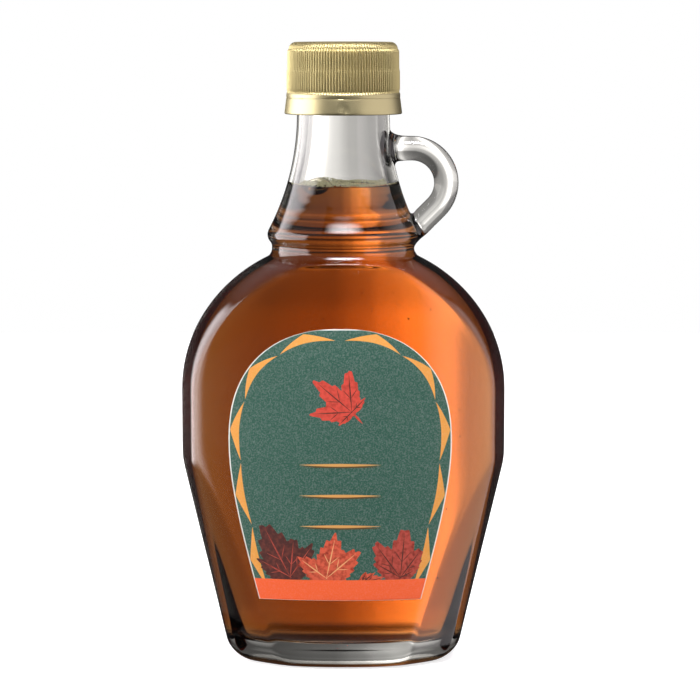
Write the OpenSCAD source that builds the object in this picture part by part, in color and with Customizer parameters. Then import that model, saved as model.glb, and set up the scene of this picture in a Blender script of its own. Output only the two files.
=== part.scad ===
// Glass flask of maple syrup with a finger loop, a screw cap and a paper label.
// Millimetres. X runs to the loop, -Y is the front with the label, +Z is up.
// The origin is the middle of the foot, on the surface that the flask stands on.

/* [Flask body] */
// Width over the sides
body_w = 86.2; // [70:0.2:105]
// Depth over the two panels, at their middle
body_d = 47.4; // [40:0.2:60]
// Height at which the shoulder meets the neck ring
body_h = 108.4; // [95:0.2:130]
// Height of the shoulder curve, from its widest line up to the bottle's axis
shoulder_h = 39.9; // [32:0.1:48]
// Height of the bend where the straight lower sides start
bend_z = 54; // [42:0.5:62]
// Slope of the lower sides, degrees from upright
taper = 13.5; // [10:0.25:17]
// Curve of the front and back panels, seen from above
panel_r = 76; // [60:1:110]
// Curve of the narrow sides, seen from above
side_r = 25; // [18:0.5:30]
// Curve by which the panels lean in towards the neck
lean_r = 120; // [100:5:200]
// Height at which that lean starts
lean_z = 78; // [70:1:84]
// Glass thickness of the body
wall = 2.7; // [2:0.1:3.4]

/* [Foot] */
// Depth over the panels just above the foot
foot_d = 43.5; // [36:0.5:52]
// Width of a corner facet at the foot, from the side to its inner edge
facet_w = 13.54; // [10:0.02:16]
// Distance from the side to a corner facet's tip, at the bend
facet_tip = 4.2; // [3:0.1:6]
// Slope of a corner facet seen from above: 1 is 45 degrees
facet_turn = 0.8; // [0.6:0.05:1.1]
// Radius of the outer heel
heel_r = 5.5; // [3:0.5:7]
// Radius of the heel inside the flask
inner_heel_r = 7; // [5:0.5:9]
// Thickness of the glass floor
floor_t = 6.5; // [5:0.5:9]
// Radius of the shallow hollow under the foot
dome_r = 13; // [9:0.5:15]
// Depth of that hollow
dome_h = 2; // [1:0.25:3]

/* [Neck] */
// Radius of the neck under the cap
neck_r = 12.3; // [11:0.1:13.5]
// Height from the neck ring's foot to the cap
neck_h = 37.3; // [32:0.1:45]
// Radius of the neck's hollow side curve
sweep_r = 66; // [60:1:80]
// Rounding of the lip where the neck flares out
lip_r = 2.8; // [2:0.1:3.4]
// Height of that lip's middle above the neck ring's foot
lip_z = 5.3; // [4.5:0.1:7]
// Radius of the groove under the lip
groove_r = 19; // [18:0.1:19.6]
// Radius of the small bead under the groove
bead_r = 1.5; // [1:0.1:1.8]
// How far the bead stands out of the groove
bead_out = 0.6; // [0.3:0.1:0.9]
// Glass thickness of the neck
neck_wall = 3; // [2:0.1:3.5]

/* [Finger loop] */
// Diameter of the glass rod
rod_d = 6.5; // [5:0.1:8]
// Radius of the loop's bend, along the middle of the rod
loop_r = 9.17; // [8:0.1:12]
// Distance from the bottle's axis to the middle of the bend
loop_x = 18.2; // [16.5:0.1:22]
// Distance from the cap down to the middle of the top leg
loop_drop = 9.1; // [7:0.1:12]
// Radius of the thickened root of the top leg
root_r = 4.5; // [4:0.1:5.5]

/* [Cap] */
// Radius over the ribs, upper half
cap_r = 14.85; // [14:0.05:17]
// Height of the cap with its band
cap_h = 19; // [17:0.1:24]
// How much further the lower half of the ribs stands out
cap_step = 0.25; // [0:0.05:0.4]
// Number of ribs
ribs = 120; // [60:1:150]
// Depth of the ribs
rib_depth = 0.35; // [0.2:0.05:0.5]
// Rounding of the top edge
cap_round = 2; // [1:0.1:3]
// Thickness of the top
cap_top = 1.5; // [1:0.1:2]
// Height of the smooth band under the ribs
band_h = 6; // [4.5:0.1:7]
// How far the band stands out of the ribs at its lower edge
band_out = 0.75; // [0.4:0.05:1.2]
// Height of the slit over the loose ring of the band
slit_z = 4.1; // [3:0.1:4.4]
// Width of the slit
slit_h = 0.4; // [0.2:0.05:0.6]
// Number of bridges across the slit
bridges = 8; // [6:1:12]
// Clearance between the cap and the neck
cap_gap = 0.3; // [0.2:0.05:0.5]

/* [Syrup] */
// Height of the syrup's surface
fill_z = 127; // [112:0.5:140]

/* [Label] */
// Width of the label
label_w = 58.6; // [48:0.2:64]
// How far the label sits to the loop's side of the middle
label_side = -0.8; // [-2:0.1:2]
// Height of the label's lower edge
label_z = 18.9; // [14:0.2:24]
// Height of the widest line of the label
label_mid = 60.8; // [50:0.5:66]
// Height of the arch above that line
arch_h = 29.8; // [24:0.1:36]
// Roundness of the arch: 2 is an ellipse, more is squarer
arch_n = 2.3; // [2:0.1:3]
// Sideways slope of the lower label edges
label_slope = 0.3; // [0.1:0.01:0.4]
// Softness of the turn into that slope
label_soft = 5.8; // [2:0.2:10]
// Thickness of the paper
label_t = 0.15; // [0.1:0.01:0.3]
// Glue between the paper and the glass
glue_t = 0.03; // [0.02:0.01:0.1]

/* [Hidden] */
$fn = 96;
eps = 0.01;
blend = 0.5;                 // rounding left between two surfaces of the body
foot_blend = 1.2;            // added to that rounding at the foot, gone at heel_top
heel_top = 12;
side_blend = 0.35;           // the same for the bend in the outline
ring_points = 56;            // points around the outer body
inner_points = 44;           // points around the hollow
label_cols = 16;
label_rows = 18;
glass = [0.72, 0.42, 0.2, 0.45];
amber = [0.62, 0.26, 0.04];
gold = [0.8, 0.72, 0.5];
paper = [0.16, 0.36, 0.29];

neck_foot = body_h;                                  // where the neck starts
cap_z = neck_foot + neck_h;                          // lower edge of the cap
mouth_z = cap_z + cap_h - cap_top;                   // top of the glass
half_side = body_w / 2;
// the shoulder ellipse passes through the groove radius at the neck's foot
shoulder_z = body_h - shoulder_h * sqrt(1 - pow(groove_r / half_side, 2));
draft_z = bend_z + 6;                                // below this the panels draw in

function smin(a, b, k) = (a + b - sqrt((a - b) * (a - b) + k * k)) / 2;

// Half width of the body at height z, for a skin that lies t inside the glass.
function half_w(z, t) =
    let (u = min(1, max(0, z - shoulder_z) / (shoulder_h - t)))
    smin((half_side - t) * sqrt(1 - u * u),
         half_side - tan(taper) * (bend_z - z) - t / cos(taper), side_blend);

// Half depth at the middle of a panel.
function half_d(z, t) =
    body_d / 2 - pow(max(0, z - lean_z), 2) / (2 * lean_r)
    - (body_d - foot_d) / 2 * pow(max(0, 1 - z / draft_z), 1.4) - t;

// Depth of a panel's curve at the distance x from its middle.
function sag(x) = x * x / (2 * panel_r);

// A corner facet is the plane facet_turn * x + y = facet_c + facet_s * z.
tip_x = half_side - facet_tip;
facet_in = half_side - tan(taper) * bend_z - facet_w;
facet_c = facet_turn * facet_in + foot_d / 2 - sag(facet_in);
facet_s = (facet_turn * tip_x + half_d(bend_z, 0) - sag(tip_x) - facet_c) / bend_z;
facet_n = sqrt(1 + facet_turn * facet_turn + facet_s * facet_s);

// Half depth at x: the lowest of the panel, the corner facet and the round side.
function half_y(x, z, t, w) =
    let (k = blend + foot_blend * pow(max(0, 1 - z / heel_top), 2),
         b = smin(w, sqrt(max(0, side_r - t) * w), blend),
         side = b * sqrt(max(0, 1 - pow(x / w, 2))),
         panel = half_d(z, t) - sag(x),
         facet = facet_c + facet_s * z - facet_turn * x - t * facet_n)
    max(0, smin(smin(panel, facet, k), side, k));

// One closed ring of n points at height z, t inside the glass.
function ring(z, t, n) =
    let (w = half_w(z, t))
    [for (i = [0:n - 1])
        let (a = 360 * i / n, x = w * sin(a),
             y = half_y(abs(x), z, t, w) * (cos(a) < 0 ? 1 : -1))
        [x, abs(cos(a)) < 1e-6 ? 0 : y, z]];

// Levels of a body skin: [height, distance inside the glass].
function levels(t, z0, heel, top_r, steps) =
    let (b = shoulder_h - t,
         top_a = asin(sqrt(1 - pow(top_r / (half_side - t), 2))))
    concat(
        [for (i = [0:5])
            let (a = 18 * i) [z0 + heel * (1 - cos(a)), t + heel * (1 - sin(a))]],
        [for (i = [1:5]) [z0 + heel + (bend_z - 2 - z0 - heel) * i / 5, t]],
        [[bend_z, t], [bend_z + 2, t], [(bend_z + shoulder_z) / 2, t]],
        [for (i = [0:steps]) [shoulder_z + b * sin(top_a * i / steps), t]]);

// Solid between the rings at the given levels.
module loft(list, n) {
    m = len(list);
    points = [for (l = list) each ring(l[0], l[1], n)];
    sides = [for (k = [0:m - 2], i = [0:n - 1])
        let (j = (i + 1) % n, a = k * n + i, b = k * n + j)
        each [[a, a + n, b + n], [a, b + n, b]]];
    polyhedron(points, concat(
        [[for (i = [0:n - 1]) i]],
        sides,
        [[for (i = [n - 1:-1:0]) (m - 1) * n + i]]), convexity = 4);
}

// The neck's side curve is a circle around [sweep_x, cap_z].
sweep_x = neck_r + sweep_r;
lip_mid_z = neck_foot + lip_z;
lip_drop = cap_z - lip_mid_z;
lip_x = sweep_x - sqrt(pow(sweep_r + lip_r, 2) - lip_drop * lip_drop);
// where that circle touches the rounding of the lip
touch = sweep_r / (sweep_r + lip_r);
touch_x = sweep_x + (lip_x - sweep_x) * touch;
touch_z = cap_z - lip_drop * touch;
neck_root = neck_foot - 6;                           // hidden start inside the body

module neck_outline() {
    translate([0, neck_root])
        square([groove_r, lip_mid_z - neck_root]);
    translate([groove_r + bead_out - bead_r, neck_foot - 0.4])
        circle(bead_r);
    translate([lip_x, lip_mid_z])
        circle(lip_r);
    polygon([[0, lip_mid_z], [lip_x, lip_mid_z], [touch_x, touch_z], [0, touch_z]]);
    difference() {
        translate([0, touch_z])
            square([touch_x, cap_z - touch_z]);
        translate([sweep_x, cap_z])
            circle(sweep_r, $fn = 360);
    }
    translate([0, cap_z - 1])
        square([neck_r, mouth_z + 1 - cap_z]);
}

module bore_outline() {
    difference() {
        translate([0, neck_root])
            square([groove_r - wall, cap_z - neck_root]);
        translate([sweep_x, cap_z])
            circle(sweep_r + neck_wall, $fn = 360);
    }
    translate([0, cap_z - 1])
        square([neck_r - neck_wall, mouth_z + 2 - cap_z]);
}

// Hollow of the flask, from its floor up through the mouth.
module hollow() {
    loft(levels(wall, floor_t, inner_heel_r, groove_r - wall - 1.5, 8), inner_points);
    rotate_extrude()
        intersection() {
            bore_outline();
            square([body_w, 2 * mouth_z]);
        }
}

loop_z = cap_z - loop_drop - loop_r;                 // middle of the loop's bend
leg_end = neck_r - neck_wall / 2;                    // where the top leg ends in the wall
leg_len = 15;                                        // lower leg, down into the lip
leg_start = 0.5;                                     // how far that leg reaches into the bend
leg_thin = 0.05;                                     // its radius is this much under the bend's

module finger_loop() {
    translate([loop_x, 0, loop_z])
        rotate([90, 0, 0]) {
            rotate_extrude(angle = 135, start = -45)
                translate([loop_r, 0])
                    circle(d = rod_d);
            rotate([0, 0, -45])
                translate([loop_r, leg_start, 0])
                    rotate([90, 0, 0])
                        cylinder(r = rod_d / 2 - leg_thin, h = leg_len);
        }
    translate([loop_x, 0, loop_z + loop_r])
        rotate([0, -90, 0]) {
            cylinder(d = rod_d, h = loop_x - leg_end);
            translate([0, 0, loop_x - neck_r - 4])
                cylinder(r1 = rod_d / 2, r2 = root_r, h = 4 + neck_r - leg_end);
        }
}

module bottle() {
    color(glass)
        difference() {
            union() {
                loft(levels(0, 0, heel_r, groove_r - 1, 11), ring_points);
                rotate_extrude()
                    neck_outline();
                finger_loop();
            }
            hollow();
            dome_ball = (dome_r * dome_r + dome_h * dome_h) / (2 * dome_h);
            translate([0, 0, dome_h - dome_ball])
                sphere(dome_ball);
        }
}

module syrup() {
    color(amber)
        intersection() {
            hollow();
            translate([-body_w, -body_w, 0])
                cube([2 * body_w, 2 * body_w, fill_z]);
        }
}

// Ribbed ring: one crest and one root for each rib.
module ribbed(r, h) {
    linear_extrude(h)
        polygon([for (i = [0:2 * ribs - 1])
            let (a = 180 * i / ribs, q = i % 2 == 0 ? r : r - rib_depth)
            [q * cos(a), q * sin(a)]]);
}

cap_root = cap_r - rib_depth;
rib_h = cap_h - band_h - cap_round;
crown_r = cap_root - 0.05;                           // plain core under the ribs

module cap_outline() {
    // smooth band, flaring to its lower edge, with the sloping ledge on top
    polygon([[0, 0], [cap_r + band_out, 0], [cap_r + band_out, 0.6],
             [cap_r + cap_step, slit_z + slit_h], [cap_r + cap_step, band_h - 0.5],
             [crown_r, band_h], [0, band_h]]);
    // core of the ribbed part and the rounded top edge
    square([crown_r, band_h + rib_h]);
    square([crown_r - cap_round, cap_h]);
    translate([crown_r - cap_round, band_h + rib_h])
        circle(cap_round);
}

module cap() {
    pitch = 360 / bridges;
    color(gold)
        translate([0, 0, cap_z])
            difference() {
                union() {
                    rotate_extrude()
                        cap_outline();
                    translate([0, 0, band_h - 0.3])
                        ribbed(cap_r + cap_step, rib_h / 2 + 0.3);
                    translate([0, 0, band_h + rib_h / 2 - eps])
                        ribbed(cap_r, rib_h / 2 + eps);
                }
                translate([0, 0, -1])
                    cylinder(r = neck_r + cap_gap, h = cap_h - cap_top + 1);
                for (i = [0:bridges - 1])
                    rotate_extrude(angle = pitch - 5, start = pitch * i)
                        translate([neck_r, slit_z])
                            square([cap_r, slit_h]);
            }
}

// Half width of the label at height z.
function label_x(z) =
    z >= label_mid
    ? label_w / 2 * pow(max(0, 1 - pow((z - label_mid) / arch_h, arch_n)), 1 / arch_n)
    : label_w / 2 + label_soft
      - sqrt(pow(label_slope * (label_mid - z), 2) + label_soft * label_soft);

// Point on the front panel, d in front of the glass.
function on_panel(x, z, d) = [x, -half_y(abs(x), z, -d, half_w(z, -d)), z];

module label() {
    rows = concat(
        [for (i = [0:label_rows / 3 - 1])
            label_z + (label_mid - label_z) * i / (label_rows / 3)],
        [for (i = [0:label_rows])
            label_mid + arch_h * sin(86.5 * i / label_rows)]);
    m = len(rows);
    n = label_cols + 1;
    points = [for (d = [glue_t, glue_t + label_t], z = rows, i = [0:label_cols])
        on_panel(label_side + label_x(z) * (2 * i / label_cols - 1), z, d)];
    back = [for (k = [0:m - 2], i = [0:label_cols - 1])
        let (a = k * n + i) each [[a, a + 1, a + n + 1], [a, a + n + 1, a + n]]];
    front = [for (f = back) [f[2] + m * n, f[1] + m * n, f[0] + m * n]];
    edge = concat([for (i = [0:n - 1]) i],
                  [for (k = [1:m - 1]) k * n + n - 1],
                  [for (i = [n - 2:-1:0]) (m - 1) * n + i],
                  [for (k = [m - 2:-1:1]) k * n]);
    rim = [for (i = [0:len(edge) - 1])
        let (a = edge[i], b = edge[(i + 1) % len(edge)])
        each [[a, b + m * n, b], [a, a + m * n, b + m * n]]];
    color(paper)
        polyhedron(points, concat(back, front, rim), convexity = 4);
}

bottle();
syrup();
cap();
label();
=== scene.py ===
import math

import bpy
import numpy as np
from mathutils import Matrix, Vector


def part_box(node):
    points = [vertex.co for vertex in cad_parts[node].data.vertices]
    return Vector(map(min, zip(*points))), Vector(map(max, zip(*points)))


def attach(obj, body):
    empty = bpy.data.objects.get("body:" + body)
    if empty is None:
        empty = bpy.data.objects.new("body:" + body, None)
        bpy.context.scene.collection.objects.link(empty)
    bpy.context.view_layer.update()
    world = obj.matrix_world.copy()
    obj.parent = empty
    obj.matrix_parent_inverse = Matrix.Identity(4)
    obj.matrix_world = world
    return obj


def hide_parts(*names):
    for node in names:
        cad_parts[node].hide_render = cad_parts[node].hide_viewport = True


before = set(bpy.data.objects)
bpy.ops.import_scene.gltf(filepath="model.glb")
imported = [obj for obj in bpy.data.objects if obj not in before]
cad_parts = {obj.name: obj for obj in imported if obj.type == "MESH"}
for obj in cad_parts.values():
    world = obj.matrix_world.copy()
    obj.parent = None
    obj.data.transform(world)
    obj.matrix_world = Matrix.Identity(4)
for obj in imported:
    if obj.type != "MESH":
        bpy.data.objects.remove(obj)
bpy.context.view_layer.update()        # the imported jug: nodes bottle, syrup, cap and label on one body

# %% [markdown]
# # A glass flask of maple syrup
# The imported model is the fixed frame. It says how wide the flask is, where the cap starts,
# how high the syrup stands and where the label sits. Every piece below is a surface worked
# out with numpy from those places, so it lands exactly where the frame says.

MM = 0.001                                  # the shapes are worked out in millimetres


def node_box(name):
    """Lowest and highest corner of a node of the frame, in millimetres."""
    low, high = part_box(name)
    return np.array(low) / MM, np.array(high) / MM


bottle_low, bottle_high = node_box("bottle")
syrup_low, syrup_high = node_box("syrup")
cap_low, cap_high = node_box("cap")
label_low, label_high = node_box("label")
print("bottle", bottle_low, bottle_high)
print("cap", cap_low, cap_high)
print("syrup", syrup_low, syrup_high, "label", label_low, label_high)

# %% [markdown]
# ## From arrays to a mesh
# A shape is a grid of points: rows along a profile, columns around it. Two neighbours in a
# row and two in the next row make one square face. A row that shrinks to a single point is
# a pole, and is closed with a fan of triangles. The volume of a closed shape, added up face
# by face, is positive when all its faces point outwards, so its sign tells when to turn it.

# %% Helpers that turn point grids into meshes


def grid_quads(rows, cols, wrap=True):
    """Faces of a grid of points: each point with its right, upper right and upper neighbour.
    With wrap, the last column is joined to the first."""
    r = np.arange(rows - 1)[:, None] * cols
    c = np.arange(cols if wrap else cols - 1)[None, :]
    d = (c + 1) % cols
    return np.stack([r + c, r + d, r + d + cols, r + c + cols], -1).reshape(-1, 4)


def fan(pole, ring, outward=True):
    """Triangles between one pole and each side of a closed ring of point numbers."""
    after = np.roll(ring, -1)
    first, second = (ring, after) if outward else (after, ring)
    return np.stack([np.full(len(ring), pole), first, second], -1)


def signed_volume(points, faces):
    """Six times the volume: the sum over all triangles of a . (b x c)."""
    total = 0.0
    for block in faces:
        a = points[block[:, 0]]
        for k in range(1, block.shape[1] - 1):
            total += (a * np.cross(points[block[:, k]], points[block[:, k + 1]])).sum()
    return total


def build(name, points, faces, finish, sharp=None, closed=True):
    """A mesh object from points in millimetres and blocks of faces of equal size. Edges
    that bend by more than sharp degrees stay crisp."""
    points = np.asarray(points, float)
    if closed and signed_volume(points, faces) < 0:
        faces = [block[:, ::-1] for block in faces]
    mesh = bpy.data.meshes.new(name)
    sizes = np.concatenate([np.full(len(block), block.shape[1]) for block in faces])
    corners = np.concatenate([block.ravel() for block in faces])
    mesh.vertices.add(len(points))
    mesh.vertices.foreach_set("co", (points * MM).ravel())
    mesh.loops.add(len(corners))
    mesh.loops.foreach_set("vertex_index", corners.astype(np.int32))
    mesh.polygons.add(len(sizes))
    mesh.polygons.foreach_set("loop_start", (np.cumsum(sizes) - sizes).astype(np.int32))
    mesh.update(calc_edges=True)
    mesh.validate()
    mesh.shade_smooth()
    if sharp:
        mesh.set_sharp_from_angle(angle=math.radians(sharp))
    piece = bpy.data.objects.new(name, mesh)
    bpy.context.scene.collection.objects.link(piece)
    mesh.materials.append(finish)
    print(name, len(points), "points", int((sizes - 2).sum()), "triangles")
    return piece


def joins(piece, *nodes, slot):
    """The piece rides on the jug's one body and stands for its nodes, which are hidden. slot is not
    used.
    """
    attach(piece, "root")
    if nodes:
        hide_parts(*nodes)


def soft_min(a, b, k):
    """The lower of two surfaces, with the edge between them rounded over about k:
    half of (a + b - root of ((a - b) squared + k squared))."""
    return (a + b - np.sqrt((a - b) ** 2 + k * k)) / 2


def ease(x):
    """0 below 0, 1 above 1 and 3x2 - 2x3 between, so that it starts and ends level."""
    x = np.clip(x, 0, 1)
    return x * x * (3 - 2 * x)


print("a tube of 3 rows of 4 points has", len(grid_quads(3, 4)), "faces")

# %% [markdown]
# ## The flask's skins
# Seen from the front the flask is a round shoulder over straight sides that draw in. Seen
# from above, each section is the lowest of three curves: a nearly flat panel, a narrow
# round side and, below the bend, a flat corner facet. The outer skin, the inside of the
# glass and the outside of the syrup are the same formulas at different depths in the wall.

# %% Sizes of the body
half_side = -bottle_low[0]                  # half the width over the sides
panel_depth = -bottle_low[1]                # half the depth at the panels' middle
body_h = 108.4                              # where the shoulder meets the neck
shoulder_h = 39.9                           # height of the shoulder's ellipse
bend_z = 54.0                               # where the sides start to draw in
taper = math.radians(13.5)                  # slope of the drawn-in sides
panel_r = 76.0                              # radius of the panels, seen from above
side_r = 25.0                               # radius of the narrow sides, seen from above
lean_r = 120.0                              # radius of the panels' lean towards the neck
lean_z = 78.0                               # where that lean starts
wall = 2.7
foot_depth = 43.5 / 2
facet_w = 13.54                             # width of a corner facet at the foot
facet_tip = 4.2                             # from the widest line in to the facet's tip
facet_turn = 0.8                            # slope of the facet, seen from above
heel_r = 5.5
inner_heel_r = 7.0
floor_z = syrup_low[2]
dome_r = 13.0                               # the hollow under the foot
dome_h = 2.0
groove_r = 19.0                             # radius of the groove below the neck's lip
side_soft = 0.35                            # rounding where shoulder and side meet

shoulder_z = body_h - shoulder_h * math.sqrt(1 - (groove_r / half_side) ** 2)
draft_z = bend_z + 6
print("widest line at", round(shoulder_z, 2), "half width", half_side)


def half_w(z, t):
    """Half width at height z for a skin t inside the glass: the lower of the shoulder's
    ellipse and the straight, drawn-in side."""
    u = np.clip((z - shoulder_z) / (shoulder_h - t), 0, 1)
    side = half_side - math.tan(taper) * (bend_z - z) - t / math.cos(taper)
    return soft_min((half_side - t) * np.sqrt(1 - u * u), side, side_soft)


def half_d(z, t):
    """Half depth at a panel's middle: straight, leaning in above and drawn in at the foot."""
    lean = np.maximum(0, z - lean_z) ** 2 / (2 * lean_r)
    draft = (panel_depth - foot_depth) * np.maximum(0, 1 - z / draft_z) ** 1.4
    return panel_depth - lean - draft - t


def sag(x):
    """Depth of the panel's curve at the distance x from its middle."""
    return x * x / (2 * panel_r)


tip_x = half_side - facet_tip
facet_in = half_side - math.tan(taper) * bend_z - facet_w
facet_c = facet_turn * facet_in + foot_depth - sag(facet_in)
facet_s = (facet_turn * tip_x + half_d(bend_z, 0) - sag(tip_x) - facet_c) / bend_z
facet_n = math.sqrt(1 + facet_turn ** 2 + facet_s ** 2)


def skins(x, z, t, w):
    """The three curves of a section at x: panel, corner facet and round side."""
    panel = half_d(z, t) - sag(x)
    facet = facet_c + facet_s * z - facet_turn * x - t * facet_n
    b = soft_min(w, np.sqrt(np.maximum(0, side_r - t) * w), 0.5)
    side = b * np.sqrt(np.maximum(0, 1 - (x / w) ** 2))
    return panel, facet, side


def half_y(x, z, t, w, k):
    """Half depth at x: the lowest of the three curves, their edges rounded over about k."""
    panel, facet, side = skins(x, z, t, w)
    return np.maximum(0, soft_min(soft_min(panel, facet, k), side, k))


# %% [markdown]
# ## Columns that follow the edges
# A crisp edge needs points close together on both sides of it, and grid lines that run
# along it. So the columns of each row are not spread evenly: they are first found on a fine
# scale where the panel ends and where the facet ends, and are gathered there.

# %% Where the columns go
quarter = [18, 6, 9, 6, 13]                 # columns: panel, edge, facet, edge, side
fine_angles = 1441                          # angles tried when the edges are looked for
first_limits = (0.24, 1.36)                 # the first edge stays between these angles
edges_apart = 0.1                           # least angle between the two edges
last_edge = 1.5                             # largest angle of the second edge
edge_reach = 1.3                            # columns gather this near an edge
reach_limits = (0.015, 0.05)                # the same as an angle stays between these


def column_angles(z, t, w, level):
    """Angles of one quarter's columns in each row. level from 0 to 1 turns the gathered
    columns into evenly spread ones, for the rows that are plain circles."""
    fine = np.linspace(0, np.pi / 2, fine_angles)
    z, t, w = z[:, None], t[:, None], w[:, None]
    panel, facet, side = skins(w * np.sin(fine), np.minimum(z, body_h - 0.6), t, w)
    first = (panel <= np.minimum(facet, side)).mean(1) * np.pi / 2
    second = (side > np.minimum(panel, facet)).mean(1) * np.pi / 2
    first = np.clip(first, *first_limits)
    second = np.clip(np.maximum(second, first + edges_apart), 0, last_edge)
    near = [np.clip(edge_reach / (w[:, 0] * np.cos(a)), *reach_limits) for a in (first, second)]
    knots = [0 * first, first - near[0], first + near[0],
             np.maximum(second - near[1], first + near[0] + 0.01), second + near[1],
             0 * first + np.pi / 2]
    shares = np.cumsum([0] + quarter) / sum(quarter)
    knots = [a + (b * np.pi / 2 - a) * level for a, b in zip(knots, shares)]
    parts = [a[:, None] + (b - a)[:, None] * np.arange(n) / n
             for a, b, n in zip(knots[:-1], knots[1:], quarter)]
    return np.concatenate(parts + [knots[-1][:, None]], 1)


def rings(z, t, w, round_r, mix, k, level):
    """Closed rings of points. mix 0 is a body section of half width w at depth t, and 1 is
    a circle of radius round_r; between them the points are mixed."""
    a = column_angles(z, t, w, level)
    z, t, w, round_r, mix = [v[:, None] for v in (z, t, w, round_r, mix)]
    x = w * np.sin(a)
    y = half_y(x, z, t, w, k[:, None])
    x = x + (round_r * np.sin(a) - x) * mix
    y = y + (round_r * np.cos(a) - y) * mix
    y[:, -1] = 0
    ring_x = np.concatenate([x, x[:, -2::-1], -x[:, 1:], -x[:, -2:0:-1]], 1)
    ring_y = np.concatenate([-y, y[:, -2::-1], y[:, 1:], -y[:, -2:0:-1]], 1)
    return np.stack([ring_x, ring_y, np.broadcast_to(z, ring_x.shape)], -1)


print("columns in a quarter", sum(quarter), "of them at edges", quarter[1] + quarter[3])


# %% [markdown]
# ## The profile of the neck
# The neck's side is drawn as arcs: a small bead on the shoulder, a groove, a round lip and
# one long hollow sweep up to the cap. Glass has no sharp inner corners, so the line of arcs
# is run through a short weighted average along its length, which rounds each corner.

# %% The neck's outline
cap_z = cap_low[2]
mouth_z = bottle_high[2]
neck_r = 12.3
neck_wall = 3.0
sweep_r = 66.0
sweep_x = neck_r + sweep_r
lip_r = 2.8
lip_mid_z = body_h + 5.3
bead_r = 1.5
bead_x = groove_r + 0.6 - bead_r
bead_z = body_h - 0.4
line_step = 0.35                            # distance between the outline's points
corner_soft = 0.42                          # width of the averaging along the outline
lip_x = sweep_x - math.sqrt((sweep_r + lip_r) ** 2 - (cap_z - lip_mid_z) ** 2)
touch = math.atan2(cap_z - lip_mid_z, sweep_x - lip_x)


def arc(cx, cz, r, start, end, n):
    """Points of an arc: centre plus radius times (cosine, sine) of each angle."""
    a = np.linspace(start, end, n)
    return np.stack([cx + r * np.cos(a), cz + r * np.sin(a)], -1)


def rounded(line, step, width):
    """The line at even steps, then averaged along its length with bell-shaped weights. Its
    ends are mirrored through themselves, so that they stay in place."""
    length = np.concatenate([[0], np.cumsum(np.linalg.norm(np.diff(line, axis=0), axis=1))])
    s = np.linspace(0, length[-1], int(length[-1] / step) + 1)
    even = np.stack([np.interp(s, length, line[:, i]) for i in (0, 1)], -1)
    n = int(3 * width / step)
    bell = np.exp(-0.5 * (np.arange(-n, n + 1) * step / width) ** 2)
    wide = np.concatenate([2 * even[0] - even[n:0:-1], even,
                           2 * even[-1] - even[-2:-n - 2:-1]])
    return np.stack([np.convolve(wide[:, i], bell / bell.sum(), "valid") for i in (0, 1)], -1)


blend_z = body_h - 2.4                      # the body's rows end here
shoulder_top = np.linspace(blend_z, bead_z + 0.15, 12)
groove_up = math.acos((groove_r - lip_x) / lip_r)
bead_up = math.acos((groove_r - bead_x) / bead_r)
sweep_z = np.linspace(lip_mid_z + lip_r * math.sin(touch), cap_z, 60)
outside = np.concatenate([
    np.stack([half_w(shoulder_top, 0), shoulder_top], -1),
    arc(bead_x, bead_z, bead_r, 0.12, bead_up, 12),
    arc(lip_x, lip_mid_z, lip_r, -groove_up, touch, 24),
    np.stack([sweep_x - np.sqrt(sweep_r ** 2 - (cap_z - sweep_z) ** 2), sweep_z], -1)])
outside = rounded(outside, line_step, corner_soft)
outside[:, 1] = np.maximum.accumulate(outside[:, 1])
rim_r = 1.1
outside = np.concatenate([outside, [[neck_r, cap_z + 4], [neck_r, mouth_z - 4]],
                          arc(neck_r - rim_r, mouth_z - rim_r, rim_r, 0, np.pi / 2, 7)])
lip_out = outside[:, 0][outside[:, 1] > lip_mid_z - lip_r].max()
print("neck outline", len(outside), "points, lip out to", lip_out)


def bore(z):
    """Radius of the hollow in the neck: the sweep moved in by the glass, at most the groove
    less the wall."""
    inner = sweep_x - np.sqrt((sweep_r + neck_wall) ** 2 - np.maximum(0, cap_z - z) ** 2)
    return soft_min(inner, groove_r - wall, 0.6)


# %% [markdown]
# ## Rows of the glass, from the foot round to the floor inside
# One closed surface makes the flask: it starts in the middle of the foot, runs out over the
# hollow under it, up the outside, over the mouth, down the inside and ends in the middle of
# the floor. The moulded outside has crisp edges. The inside was shaped by air, so its edges
# are much softer, and the wall is thicker in the corners.

# %% Rows of a body skin
outer_steps = [12, 34, 13, 14, 56]          # rows: heel, low side, bend, high side, shoulder
inner_steps = [10, 26, 9, 10, 34]           # the same inside
outer_edge = (0.5, 1.2)                     # rounding of the edges, and how much more below
inner_edge = (2.2, 2.0)


def body_rows(t, z0, heel, top_z, steps):
    """Heights and depths of a body skin's rows: the heel's quarter round, then rows that
    lie closer at the bend, then even steps of angle up the shoulder."""
    a = np.linspace(0, np.pi / 2, steps[0])
    heel_z = z0 + heel * (1 - np.cos(a))
    low = np.linspace(z0 + heel, bend_z - 3, steps[1])[1:]
    bend = np.linspace(bend_z - 3, bend_z + 3, steps[2])[1:]
    high = np.linspace(bend_z + 3, shoulder_z, steps[3])[1:]
    top = math.asin(min(1, (top_z - shoulder_z) / (shoulder_h - t)))
    dome = shoulder_z + (shoulder_h - t) * np.sin(np.linspace(0, top, steps[4]))[1:]
    z = np.concatenate([heel_z, low, bend, high, dome])
    depth = np.full(len(z), float(t))
    depth[:steps[0]] = t + heel * (1 - np.sin(a))
    return z, depth


def edge_round(z, soft, foot):
    """Rounding of the edges: more at the foot, where the mould is soft."""
    return soft + foot * np.maximum(0, 1 - z / 12.0) ** 2


print("rows outside", sum(outer_steps), "and inside", sum(inner_steps))

# %% The outside, from the foot to the mouth
to_circle = 1.9                             # height over which a section becomes a circle
to_even = 5                                 # height over which the columns spread evenly


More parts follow.
